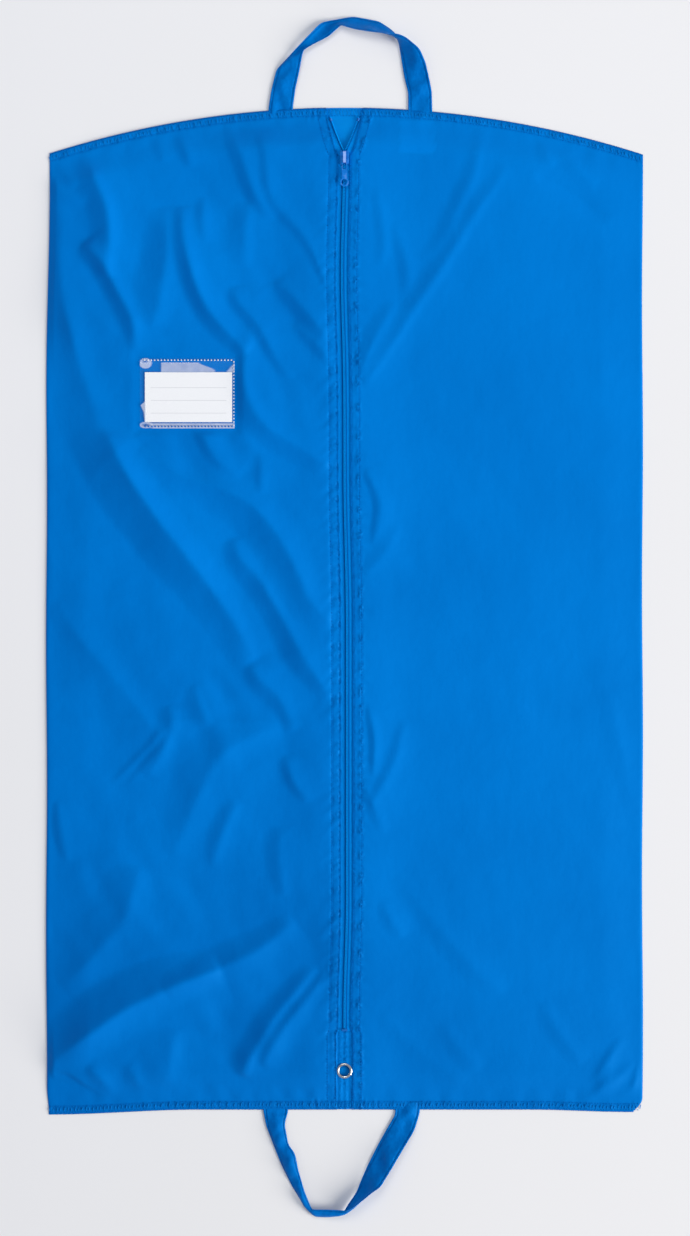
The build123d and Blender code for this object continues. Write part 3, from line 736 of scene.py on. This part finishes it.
def floor_material():
    """Plain pale surface."""
    n = Nodes("pale_floor", Specular_IOR_Level=0.1)
    n.colour(n.ramp(n.noise(2, 2), [(0.3, (0.79, 0.79, 0.79)), (0.7, (0.8, 0.8, 0.805))]))
    n.roughness(n.noise(50), 0.8, 0.9)
    return n.material


CLOTH = cloth_material("bag_taffeta", CLOTH_BLUE)
STRAP = cloth_material("strap_taffeta", CLOTH_BLUE, crinkle=1.5)
TAPE = tape_material()
COIL = coil_material()
SLIDER_ENAMEL = enamel_material("slider_enamel", 0.55, 0.12)
TAB_ENAMEL = enamel_material("tab_enamel", 0.12, 0.04)
NICKEL = nickel_material()
STOP = stop_material()
BLUE_THREAD = thread_material("blue_thread", (0.001, 0.14, 0.54), SILK_TINT)
PALE_THREAD = thread_material("pale_blue_thread", (0.004, 0.2, 0.62), SILK_TINT)
WHITE_THREAD = thread_material("white_thread", (0.86, 0.87, 0.9))
CARD = card_material()
VINYL = vinyl_material()
LABEL = label_material()


# ---- cloth panels


def row_places():
    """Places of a panel's rows between its two sewn ends, from 0 to 1, closer at the hems."""
    hem = np.arange(0, 14, 1.0)
    middle = np.arange(14, LENGTH - 14, 2.35)
    return np.concatenate([hem, middle, LENGTH - hem[::-1]]) / LENGTH


def column_places():
    """Places of a panel's columns from its lip to its side fold, from 0 to 1."""
    width = HALF_WIDTH - LIP_X
    roll = 10 * (1 - np.cos(np.linspace(math.pi / 2, 0, 13)))
    near_lip = np.concatenate([[0, 0.35], np.arange(1, 26, 1.25)])
    middle = np.arange(27, width - 11, 3.3)
    return np.concatenate([near_lip, middle, width - roll]) / width


def with_tuck(values):
    """Repeats a field's first column for the turned-under lip."""
    return np.concatenate([values[:, :1], values], 1)


def panel_tone(x, y):
    """How much lighter or darker a front panel's cloth is, with painted highlight and painted shade in it.
    """
    end = end_distance(x, y)
    lip = np.abs(x - bow(y)) - lip_edge(y)
    tone = np.where(y > 0, -0.28, -0.14) * bell(end / 1.6) - 0.06 * bell((end - 8.4) / 1.2)
    # Painted highlight on the lip's rolled edge and painted shade along the groove just inside it.
    tone = tone + 0.22 * bell(lip / 0.9) - 0.12 * bell((lip - 2.0) / 1.1)
    # Painted shade: the left panel is a little darker all over, and both panels darker towards the bottom.
    tone += np.where(x < 0, -0.02 - 0.06 * ease((-200 - y) / 150), -0.04 * ease((-230 - y) / 150))
    a, b = low("inner_label"), high("inner_label")
    inset = np.minimum(np.minimum(x - a.x, b.x - x), np.minimum(y - a.y, b.y - y))
    return tone + (0.12 + 0.1 * ease((b.y - 12 - y) / 6)) * ease((inset + 0.5) / 1.5)


def panel_pucker_and_shade(x, y):
    """How gathered a front panel is along its stitched seams, which also sets the painted shade in the
    gathers.
    """
    lip = np.abs(x - bow(y)) - lip_edge(y)
    end = end_distance(x, y)
    left = 0.9 * bell((lip - 1.9) / 1.6) + 0.3 * bell((lip - 9.8) / 1.9)
    right = 0.4 * bell((lip - 2.1) / 1.2) + 0.8 * bell((lip - 8.6) / 2.7)
    rows = np.where(x < 0, left, right) + 0.2 * ease((13 - lip) / 3)
    hems = np.where(y > 0, 0.8, 0.5) * bell((end - 5.5) / 3.6)
    hems = hems * np.clip(0.6 + 0.4 * hem_broad(x, y), 0.1, 1.2)
    return rows * np.clip(0.55 + 0.5 * zip_broad(x, y), 0.12, 1.2) + hems


def make_front_panel(side, sign):
    """One front panel: a sheet with a turned-under lip at the zipper and soft folds."""
    t = row_places()[:, None]
    s = column_places()[None, :]
    y = mix(BOTTOM_Y, TOP_Y, t) + 0 * s
    for _ in range(3):
        x = mix(sign * lip_edge(y) + bow(y), sign * side_edge(sign, y), s)
        y = mix(bottom_edge(x), top_edge(x), t)
    z = front_z(x, y)
    z[:, 0] -= 0.45
    z[:, 1] -= 0.12
    outer = np.stack([x, y, z], -1)
    tuck = np.stack([x[:, :1] + sign * 3.0, y[:, :1], z[:, :1] - 0.35], -1)
    points = np.concatenate([tuck, outer], 1)
    panel = grid_object(f"front_panel_{side}", points, CLOTH)
    set_field(panel, "tone", with_tuck(panel_tone(x, y)))
    set_field(panel, "pucker_and_shade", with_tuck(panel_pucker_and_shade(x, y)))
    across_fold(panel)
    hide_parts(f"front_panel_{side}_upper", f"front_panel_{side}_lower")
    return panel


def make_back_panel():
    """The back cloth, flat on the table, raised a little inside the V."""
    t = row_places()[:, None]
    s = np.linspace(-1, 1, 151)[None, :]
    y = mix(BOTTOM_Y, TOP_Y, t) + 0 * s
    for _ in range(3):
        half = np.where(s < 0, side_edge(-1, y), side_edge(1, y)) - 0.2
        x = half * s
        y = mix(bottom_edge(x) + 0.3, top_edge(x) - 0.3, t)
    inside = ease((half - np.abs(x)) / 30) * ease((top_edge(x) - y - 4) / 14)
    inside = inside * ease((y - bottom_edge(x)) / 30)
    z = BACK_Z + inside * np.clip(0.5 + 0.5 * rolling(x, y) + 0.3 * diagonal(x, y), 0, 2.5)
    vee = bell(x / 24) * bell((y - 488) / 22)
    z += 3.6 * vee * ease((top_edge(x) - y - 6) / 14)
    eyelet = centre_of("grommet_eyelet")
    z += 4.6 * np.exp(-((np.hypot(x - eyelet.x, y - eyelet.y) / 13) ** 4))
    panel = grid_object("back_panel", np.stack([x, y, z], -1), CLOTH)
    set_field(panel, "tone", 0.5 * ease(1.6 - np.abs(x) / 16) * ease((y - 440) / 20))
    across_fold(panel)
    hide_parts("back_panel_upper", "back_panel_lower")
    return panel


def make_strip():
    """The cloth strip below the zipper, under both lips, with the eyelet's hole."""
    a, b = low("grommet_strip"), high("grommet_strip")
    eyelet = centre_of("grommet_eyelet")
    x, y = np.meshgrid(np.linspace(a.x, b.x, 41), np.linspace(BOTTOM_Y + 2.5, ZIP_END_Y, 84))
    z = front_z(np.sign(x + 1e-6) * np.maximum(np.abs(x), STRIP_X + 0.6) + bow(y), y) - 0.75
    z += 0.12 * creases(x * 2, y * 2)
    points = np.stack([x, y, z], -1)
    hole = np.hypot(x - eyelet.x, y - eyelet.y) < STRIP_HOLE
    quads = grid_faces(*x.shape)
    kept = ~hole.ravel()[quads].any(1)
    strip = new_object("grommet_strip_cloth", points.reshape(-1, 3), quads[kept], CLOTH)
    set_field(strip, "tone", np.full(x.size, 0.03))
    set_field(strip, "pucker_and_shade", 0.35 + 0.25 * np.sin(x * 1.1))
    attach(strip, "bag_lower")
    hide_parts("grommet_strip")


# ---- zipper


def spread(y):
    """How far a zipper edge has turned outwards at the V."""
    return 1.5 * np.maximum(0, lip_edge(np.maximum(y, SPREAD_Y)) - lip_edge(SPREAD_Y))


def sink(y, sign):
    """How far the zipper dips below its usual height, where it runs in under the hem."""
    return np.minimum(0, front_z(sign * (lip_edge(y) + 0.5) + bow(y), y) - LIP_Z) * ease((y - SPREAD_Y) / 8)


def make_tape(side, sign):
    """One woven tape, from the strip up into the V."""
    t = np.linspace(0, 1, 500)[:, None]
    s = np.linspace(0, 1, 12)[None, :]
    y = mix(ZIP_END_Y - 6, ZIP_TOP_Y, t) + 0 * s
    inner = 0.45 + spread(y)
    width = high("zipper_tape_right_lower").x
    x = sign * mix(inner, width + 0.5 * spread(y), s) + bow(y)
    z = high("zipper_tape_left_upper").z - 0.25 + 0.12 * np.sin(y / 3.1 + 2 * x) + sink(y, sign)
    tape = grid_object(f"zipper_tape_{side}", np.stack([x, y, z], -1), TAPE)
    # The tape is darker next to the coil: partly the thread that sews the coil on, partly painted shade
    # under and beside the coil.
    set_field(tape, "tone", 0.15 + 0.75 * ease((np.abs(x - bow(y)) - spread(y) - 2.1) / 0.9))
    across_fold(tape)
    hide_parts(f"zipper_tape_{side}_upper", f"zipper_tape_{side}_lower")


def make_coil(side, sign):
    """One nylon coil, wound so that its turns lie between the other coil's turns."""
    start = low("zipper_coil_left_lower").y
    end = ZIP_TOP_Y - 1
    pitch = 1.5
    turns = (end - start) / pitch
    t = np.linspace(0, 1, int(turns * 10))
    y = mix(start, end, t)
    angle = 2 * math.pi * turns * t + (0 if sign > 0 else math.pi)
    middle = sign * (0.8 + spread(y)) + bow(y)
    round_x = np.cos(angle)
    round_z = np.sin(angle)
    path = np.stack([middle + 0.82 * round_x, y, COIL_MIDDLE_Z + 0.62 * round_z + sink(y, sign)], -1)
    outwards = np.stack([round_x, 0 * y, round_z], -1)
    points, faces = tube(path, 0.33, 5, outwards)
    coil = new_object(f"zipper_coil_{side}", points, faces, COIL)
    meeting = sign * spread(points[:, 1]) + bow(points[:, 1])
    # Painted highlight along the coils' meeting line, and painted shade towards their outer bends.
    set_field(coil, "tone", ease(2.1 - np.abs(points[:, 0] - meeting) / 0.7))
    across_fold(coil)
    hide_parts(f"zipper_coil_{side}_upper", f"zipper_coil_{side}_lower")


def make_top_stop(side, sign):
    """A crimped metal stop across a coil, just under the hem."""
    y = ZIP_TOP_Y - 5 + 0.8 * np.arange(4)[:, None] + np.zeros(5)
    x = sign * (1.05 + spread(y)) + bow(y) + 1.5 * np.linspace(-1, 1, 5)[None, :]
    z = COIL_MIDDLE_Z + 0.35 + sink(y, sign)
    stop = thread_object(f"zipper_top_stop_{side}_metal", np.stack([x, y, z], -1), 0.62, STOP)
    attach(stop, "bag_upper")
    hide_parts(f"zipper_top_stop_{side}")


def soften(node, width, material):
    """Better material and rounded edges on a CAD node."""
    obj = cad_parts[node]
    bevel = obj.modifiers.new("round", "BEVEL")
    bevel.width = width * MM
    bevel.segments = 3
    bevel.limit_method = "ANGLE"
    obj.data.materials.clear()
    obj.data.materials.append(material)


def make_hardware():
    """Slider, tab and bottom stop."""
    soften("slider_body", 0.3, SLIDER_ENAMEL)
    soften("pull_tab", 0.28, TAB_ENAMEL)
    soften("zipper_bottom_stop", 0.3, STOP)


def lathe(name, profile, centre, material):
    """Object turned from (radius, height) points about a vertical axis."""
    angle = np.linspace(0, 2 * math.pi, 73)[:-1]
    rings = [
        np.stack([centre.x + r * np.cos(angle), centre.y + r * np.sin(angle), np.full(72, z)], -1)
        for r, z in profile
    ]
    points = np.vstack(rings)
    return new_object(name, points, grid_faces(len(profile), 72, wrap=True), material)


def make_eyelet():
    """Rolled eyelet in the strip and the washer behind it."""
    a, b = low("grommet_eyelet"), high("grommet_eyelet")
    centre = (a + b) / 2
    outer = (b.x - a.x) / 2
    bore = EYELET_BORE
    angle = np.linspace(math.radians(-30), math.radians(180), 16)
    crown = (outer + bore) / 2
    half = (outer - bore) / 2
    profile = [(crown + half * math.cos(t), b.z - 0.9 + 0.9 * math.sin(t)) for t in angle]
    profile += [(bore, mix(b.z - 0.9, a.z, t)) for t in (0.3, 0.6, 0.9)]
    profile += [(bore + 0.3, a.z), (bore + 0.6, a.z + 0.1)]
    eyelet = lathe("eyelet", profile, centre, NICKEL)
    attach(eyelet, "bag_lower")
    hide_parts("grommet_eyelet")
    soften("grommet_washer", 0.15, NICKEL)


# ---- stitching


def thread_object(name, spines, thick, material):
    """Stitches as small rounded rods; spines holds five points along each of them."""
    size = np.array([0.35, 0.9, 1.0, 0.9, 0.35]) * thick
    lift = np.array([-0.3, 0.55, 0.9, 0.55, -0.3]) * thick
    along = spines[:, -1] - spines[:, 0]
    along[:, 2] = 0
    along /= np.linalg.norm(along, axis=1, keepdims=True)
    across = np.stack([-along[:, 1], along[:, 0], 0 * along[:, 0]], -1)
    angle = np.arange(6) * math.pi / 3
    centre = spines + lift[None, :, None] * np.array([0, 0, 1.0])
    flat = np.cos(angle)[None, None, :, None] * across[:, None, None, :]
    tall = np.sin(angle)[None, None, :, None] * np.array([0, 0, 1.0])
    points = centre[:, :, None] + size[None, :, None, None] * (flat + tall)
    caps = np.array([[5, 4, 3, 2], [5, 2, 1, 0], [24, 25, 26, 27], [24, 27, 28, 29]])
    quads = np.vstack([grid_faces(5, 6, wrap=True), caps])
    faces = quads[None] + 30 * np.arange(len(spines))[:, None, None]
    return new_object(name, points.reshape(-1, 3), faces.reshape(-1, 4), material)


def running_spines(row, pitch, height, fill=0.78):
    """Spines of a row of running stitches along a line; fill is a stitch's share of the pitch."""
    row = np.asarray(row, float)
    length = np.concatenate([[0], np.cumsum(np.linalg.norm(np.diff(row, axis=0), axis=1))])
    places = np.arange(pitch * 0.5, length[-1] - pitch * 0.3, pitch)
    spots = places[:, None] + pitch * fill * np.array([-0.5, -0.3, 0.0, 0.3, 0.5])
    x = np.interp(spots, length, row[:, 0])
    y = np.interp(spots, length, row[:, 1])
    return np.stack([x, y, height(x, y)], -1)


def loop_spines(edge, inwards, height):
    """Spines of the overlock loops that lie across a hem."""
    x = np.arange(-HALF_WIDTH + 3, HALF_WIDTH - 2, LOOP_PITCH)
    x = x + 0.5 * np.sin(x * 1.7) + 0.4 * np.sin(x * 0.61)
    t = np.linspace(0, 1, 5)[None, :]
    inset = mix(2.9, 7.6 + 0.5 * np.sin(x * 2.3)[:, None], t)
    px = x[:, None] + 1.1 * t
    py = edge(px) + inwards * inset
    return np.stack([px, py, height(px, py)], -1)


def make_seam_stitches():
    """Two rows and the overlock loops between them, along the shoulder seam and the bottom seam."""
    x = np.linspace(-HALF_WIDTH + 3, HALF_WIDTH - 3, 160)
    seams = (("top", top_edge, -1, "bag_upper"), ("bottom", bottom_edge, 1, "bag_lower"))
    for name, edge, inwards, body in seams:
        rows = [np.stack([x, edge(x) + inwards * inset], -1) for inset in (2.2, HEM - 0.6)]
        spines = [running_spines(row, 2.9, seam_z) for row in rows]
        thread = thread_object(f"{name}_seam_stitches", np.vstack(spines), 0.26, BLUE_THREAD)
        loops = thread_object(f"{name}_seam_loops", loop_spines(edge, inwards, seam_z), 0.4, PALE_THREAD)
        for obj in (thread, loops):
            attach(obj, body)
        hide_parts(f"{name}_seam_thread")


def seam_z(x, y):
    """Height that the seam stitches lie at, level over the openings' mouths."""
    return front_z(np.sign(x + 1e-6) * np.maximum(np.abs(x), STRIP_X), y)


def make_zipper_stitches(side, sign):
    """Two rows down one side of the zipper and the strip."""
    y = np.linspace(BOTTOM_Y + 10, TOP_Y - 10, 300)
    rows = [np.stack([sign * (lip_edge(y) + row - LIP_X) + bow(y), y], -1) for row in STITCH_ROWS]
    spines = [running_spines(row, 2.9, front_z) for row in rows]
    thread = thread_object(f"zipper_stitches_{side}", np.vstack(spines), 0.28, BLUE_THREAD)
    across_fold(thread)
    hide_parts(f"zipper_thread_{side}_upper", f"zipper_thread_{side}_lower")
    return thread


# ---- card pocket


def pocket_z(x, y):
    """Height of the clear window, sewn down at three edges and arched over the card."""
    a, b = low("id_window"), high("id_window")
    inset = np.minimum(np.minimum(b.x - x, y - a.y), b.y - y)
    arch = ease((inset - 0.5) / 6)
    ripple = 0.12 * creases(x * 1.3, y * 1.3)
    return mix(LIP_Z + 0.12, LIP_Z + 0.98 + ripple, arch)


def window_edges_and_reflections(x, y):
    """Where the clear window is painted white: its cut edges, and painted reflections where it mirrors the
    light.
    """
    a, b = low("id_window"), high("id_window")
    card_top = high("id_card").y
    left, right = x - a.x, b.x - x
    under, over = y - a.y, b.y - y
    white_marks = 0.55 * (1 - ease((under - 4.6) / 1)) * ease((left - 9) / 6)
    # The rest are painted reflections: a band above the card, a patch at the right, and patches at the left
    # corners.
    above_card = ease((y - card_top + 0.3) / 0.6)
    lower_end = 61 + 17 * ease((b.y - 4 - y) / 9)
    band = ease((left - 21) / 1.5) * ease((lower_end - left) / 3)
    white_marks += 0.45 * band * ease((over - 4.2) / 0.8) * above_card
    white_marks += 0.45 * ease((10 - right + 0.9 * (card_top - y)) / 3) * ease((over - 3.0) / 1) * above_card
    tab = ease((6.6 - np.hypot((left - 5.8) * 0.95, (over - 5.4) * 1.15)) / 1.2)
    white_marks += 0.55 * tab * (1 - np.exp(-(((left - 5.5) / 3) ** 2) - ((over - 3.4) / 1.3) ** 2))
    bend = np.interp(under, (7.4, 16.8, 23.5, 28.9), (4.7, 3.4, 0.4, 6.5))
    left_edge_glint = 0.5 * ease((left - bend) / 0.8) * ease((6.6 - left) / 0.6)
    white_marks += left_edge_glint * ease((under - 6.5) / 1) * ease((29 - under) / 1)
    foot = ease((6.8 - np.hypot((left - 6.5) * 0.9, (under - 3.4) * 1.9)) / 1.5)
    white_marks += 0.5 * foot * (1 - np.exp(-(((left - 6) / 3.5) ** 2) - ((under - 3.6) / 1.2) ** 2))
    return np.clip(white_marks, 0, 0.75)


def make_pocket():
    """Clear window, its white stitching, and the card's paper."""
    a, b = low("id_window"), high("id_window")
    x, y = np.meshgrid(np.linspace(a.x, b.x, 160), np.linspace(a.y, b.y, 120))
    window = grid_object("pocket_window", np.stack([x, y, pocket_z(x, y)], -1), VINYL)
    set_field(window, "tone", window_edges_and_reflections(x, y))
    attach(window, "bag_upper")
    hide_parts("id_window")
    inset = 2.1
    top = [(a.x + 3, b.y - inset), (b.x - 0.8, b.y - inset)]
    right = [(b.x - 0.8, b.y - inset), (b.x - 0.8, a.y + inset)]
    bottom = [(b.x - 0.8, a.y + inset), (a.x + 3, a.y + inset)]
    spines = [running_spines(row, 3.4, pocket_z, 0.5) for row in (top, right)]
    thread = thread_object("pocket_stitches", np.vstack(spines), 0.75, WHITE_THREAD)
    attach(thread, "bag_upper")
    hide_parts("pocket_thread")
    spines = running_spines(bottom, 3.4, pocket_z, 0.5)
    lower = thread_object("pocket_stitches_lower", spines, 0.85, BLUE_THREAD)
    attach(lower, "bag_upper")
    soften("id_card", 0.05, CARD)


def make_label():
    """Care label inside the front."""
    a, b = low("inner_label"), high("inner_label")
    x, y = np.meshgrid(np.linspace(a.x, b.x, 30), np.linspace(a.y, b.y, 30))
    label = grid_object("care_label", np.stack([x, y, front_z(x, y) - 0.6], -1), LABEL)
    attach(label, "bag_upper")
    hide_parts("inner_label")


# ---- strap loops

# The two edges of each strap, as (x, y, z), from its left root to its right root. Each strap makes
# half a turn, so the edge that starts outside ends inside.
TOP_STRAP = (
    ((-78, 510, 1.2), (-53.3, 510, 1.2)),
    ((-77.7, 519, 1.2), (-52.9, 519, 1.2)),
    ((-74.9, 537.5, 1.2), (-50.4, 537.5, 3.0)),
    ((-70, 557, 1.2), (-45.8, 558, 5.0)),
    ((-68, 560.5, 1.2), (-42.2, 577, 7.5)),
    ((-58, 570.5, 3), (-37, 580.5, 7.0)),
    ((-48.6, 580.5, 5), (-31.4, 583.8, 6.0)),
    ((-36, 593.5, 6), (-16.3, 591.7, 5.0)),
    ((-23.8, 606.4, 4), (-4.7, 602, 6.0)),
    ((8.5, 612.8, 1.2), (-3.0, 602.3, 9)),
    ((22, 610.5, 1.0), (10, 598, 12)),
    ((35.4, 607.9, 1.0), (22.5, 595.6, 14)),
    ((46, 601, 1.0), (40, 593.3, 17)),
    ((52.6, 595.2, 1.5), (53.7, 592.6, 19)),
    ((55.2, 586, 1.0), (62, 589.5, 18)),
    ((57, 576, 1.0), (76.3, 578.4, 13)),
    ((59, 563, 1.0), (82.5, 565, 9)),
    ((61.2, 550.3, 1.0), (86, 550.4, 5)),
    ((65, 535, 1.2), (89, 537, 2.2)),
    ((65, 519, 1.2), (89.6, 519, 1.2)),
    ((65, 508, 1.2), (89.6, 508, 1.2)),
)
BOTTOM_STRAP = (
    ((-83.5, -495, 1.2), (-58, -495, 1.2)),
    ((-83, -505, 1.2), (-57.5, -505, 1.2)),
    ((-80.2, -519.7, 1.2), (-61.2, -518, 3.0)),
    ((-72.6, -539.4, 1.2), (-57.4, -538.5, 4.0)),
    ((-66.5, -555, 1.2), (-50.4, -548, 5.0)),
    ((-63.9, -561.2, 1.2), (-47.5, -563.3, 5.0)),
    ((-53, -583, 1.2), (-41, -586, 5.0)),
    ((-42.1, -600.4, 1.2), (-34, -603, 6.0)),
    ((-31.2, -613.1, 1.2), (-32.5, -604.6, 7)),
    ((-17, -613.6, 1.0), (-17, -604.6, 7)),
    ((-7, -612.4, 1.0), (-5, -604.8, 8)),
    ((-0.5, -607.9, 1.2), (1.5, -605, 12)),
    ((3.5, -600.5, 1.0), (7, -602.5, 18)),
    ((7.5, -595, 1.0), (14, -597, 19)),
    ((12.5, -587.3, 1.0), (27.7, -586.1, 18)),
    ((16, -578, 1.0), (36.3, -580.8, 16)),
    ((23.3, -561.2, 1.0), (47.3, -563.3, 13)),
    ((34.2, -539.4, 1.0), (60.4, -541.5, 10)),
    ((45.2, -519.7, 1.0), (71.3, -524.1, 5)),
    ((51.6, -509, 1.2), (75.9, -510, 1.6)),
    ((51.6, -504, 1.2), (77.2, -504, 1.2)),
    ((51.9, -495, 1.2), (77.5, -495, 1.2)),
)
STRAP_WIDTH = 25
STRAP_STEP = 1.6

# The parts of a strap that stand on edge are pressed down by this share of what is above this height.
STRAP_PRESS = 0.35
STRAP_PRESS_Z = 8


def creased_path(points, rounding):
    """Evenly stepped path with slightly rounded corners."""
    points = np.asarray(points, float)
    middle = points.mean(1)
    length = np.concatenate([[0], np.cumsum(np.linalg.norm(np.diff(middle, axis=0), axis=1))])
    places = np.arange(0, length[-1], STRAP_STEP)
    flat = points.reshape(len(points), -1)
    path = np.stack([np.interp(places, length, column) for column in flat.T], -1)
    reach = int(rounding / STRAP_STEP)
    padded = np.pad(path, ((reach, reach), (0, 0)), mode="edge")
    kernel = np.hanning(2 * reach + 3)[1:-1]
    smooth = [np.convolve(column, kernel / kernel.sum(), mode="valid") for column in padded.T]
    return np.stack(smooth, -1).reshape(len(places), *points.shape[1:])


def make_strap(name, stations, node):
    """Soft folded strap, hollow across where it turns on edge, closed as two thin faces."""
    edges = creased_path(stations, 5)
    edges[..., 2] -= STRAP_PRESS * np.maximum(edges[..., 2] - STRAP_PRESS_Z, 0)
    first, second = edges[:, 0], edges[:, 1]
    span = second - first
    chord = np.linalg.norm(span, axis=1)
    run = np.gradient((first + second) / 2, axis=0)
    normal = np.cross(run, span)
    normal /= np.linalg.norm(normal, axis=1, keepdims=True)
    slack = np.clip(STRAP_WIDTH * 0.95 / chord - 1, 0, 1)
    sag = chord * np.sqrt(0.375 * slack) * 0.3
    s = np.linspace(0, 1, 33)[None, :, None]
    points = first[:, None] + span[:, None] * s
    points = points + (sag[:, None] * normal)[:, None] * (4 * s * (1 - s))
    cushion = 0.42 * np.sqrt(np.clip(1 - (2 * s - 1) ** 2, 0, 1)) ** 0.5 + 0.05
    cushion = cushion - 0.12 * bell((np.minimum(s, 1 - s) - 0.1) / 0.03)
    x, y = points[..., 0], points[..., 1]
    wobble = 0.9 * creases(x * 1.2, y * 1.2) + 0.2 * creases(x * 2.6, y * 2.6)
    wobble = wobble[..., None] * (4 * s * (1 - s))
    upper = points + (cushion + wobble) * normal[:, None]
    under = points + (wobble - cushion) * normal[:, None]
    ring = np.concatenate([upper, under[:, ::-1]], 1)
    ring[..., 2] = np.maximum(ring[..., 2], 0.15)
    rows, columns = ring.shape[:2]
    strap = new_object(name, ring.reshape(-1, 3), grid_faces(rows, columns, wrap=True), STRAP)
    edge_rows = np.concatenate([s, s[:, ::-1]], 1)[..., 0] + np.zeros((rows, columns))
    sewn = bell((np.minimum(edge_rows, 1 - edge_rows) - 0.1) / 0.03)
    # Painted shade: the strap is a little darker than the bag all over, and darker along its sewn lines,
    # partly the seam and partly painted shade in its grooves.
    set_field(strap, "tone", -0.07 - 0.16 * sewn)
    set_field(strap, "pucker_and_shade", 0.5 * sewn + 0.2)
    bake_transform(strap)
    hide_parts(node)


def make_straps():
    """Both carrying loops."""
    make_strap("top_strap", TOP_STRAP, "top_handle")
    make_strap(
        "bottom_strap", BOTTOM_STRAP, "bottom_handle"
    )


# ---- stage


# In metres: the camera above the table, and the length of table that it sees.
CAMERA_HEIGHT = 2.8
VIEW_HEIGHT = 1.263


def make_stage():
    """Pale floor, soft light from the right and above, and the camera straight above."""
    size = 6000
    corners = [(-size, -size, -0.4), (size, -size, -0.4), (size, size, -0.4), (-size, size, -0.4)]
    floor = new_object("floor", corners, [(0, 1, 2, 3)], floor_material())

    world = bpy.data.worlds.new("studio")
    bpy.context.scene.world = world
    world.use_nodes = True
    background = world.node_tree.nodes["Background"]
    background.inputs["Color"].default_value = (0.82, 0.93, 1.16, 1)
    background.inputs["Strength"].default_value = 0.345

    add_light("right_softbox", (6.72, -2.71, 3.38), 5.0, 860, (1.07, 1.01, 0.925))
    add_light("upper_softbox", (-0.3, 1.8, 2.8), 1.6, 30, (1, 1, 1))

    camera = bpy.data.cameras.new("camera")
    camera.sensor_width = 36
    camera.lens = camera.sensor_width * CAMERA_HEIGHT / VIEW_HEIGHT
    camera.clip_end = 30
    view = bpy.data.objects.new("camera", camera)
    view.location = (0.0005, -0.0015, CAMERA_HEIGHT)
    bpy.context.scene.collection.objects.link(view)
    bpy.context.scene.camera = view
    bpy.context.scene.view_settings.view_transform = "Standard"


def add_light(name, place, size, power, color):
    """Square softbox aimed at the bag's middle."""
    light = bpy.data.lights.new(name, "AREA")
    light.size = size
    light.energy = power
    light.color = color
    lamp = bpy.data.objects.new(name, light)
    lamp.location = place
    lamp.rotation_euler = (-Vector(place)).to_track_quat("-Z", "Y").to_euler()
    bpy.context.scene.collection.objects.link(lamp)


make_back_panel()
for panel_side, panel_sign in (("left", -1), ("right", 1)):
    make_front_panel(panel_side, panel_sign)
    make_tape(panel_side, panel_sign)
    make_coil(panel_side, panel_sign)
    make_top_stop(panel_side, panel_sign)
    zipper_thread = make_zipper_stitches(panel_side, panel_sign)
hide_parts("strip_thread")
make_strip()
make_hardware()
make_eyelet()
make_seam_stitches()
make_pocket()
make_label()
make_straps()
make_stage()
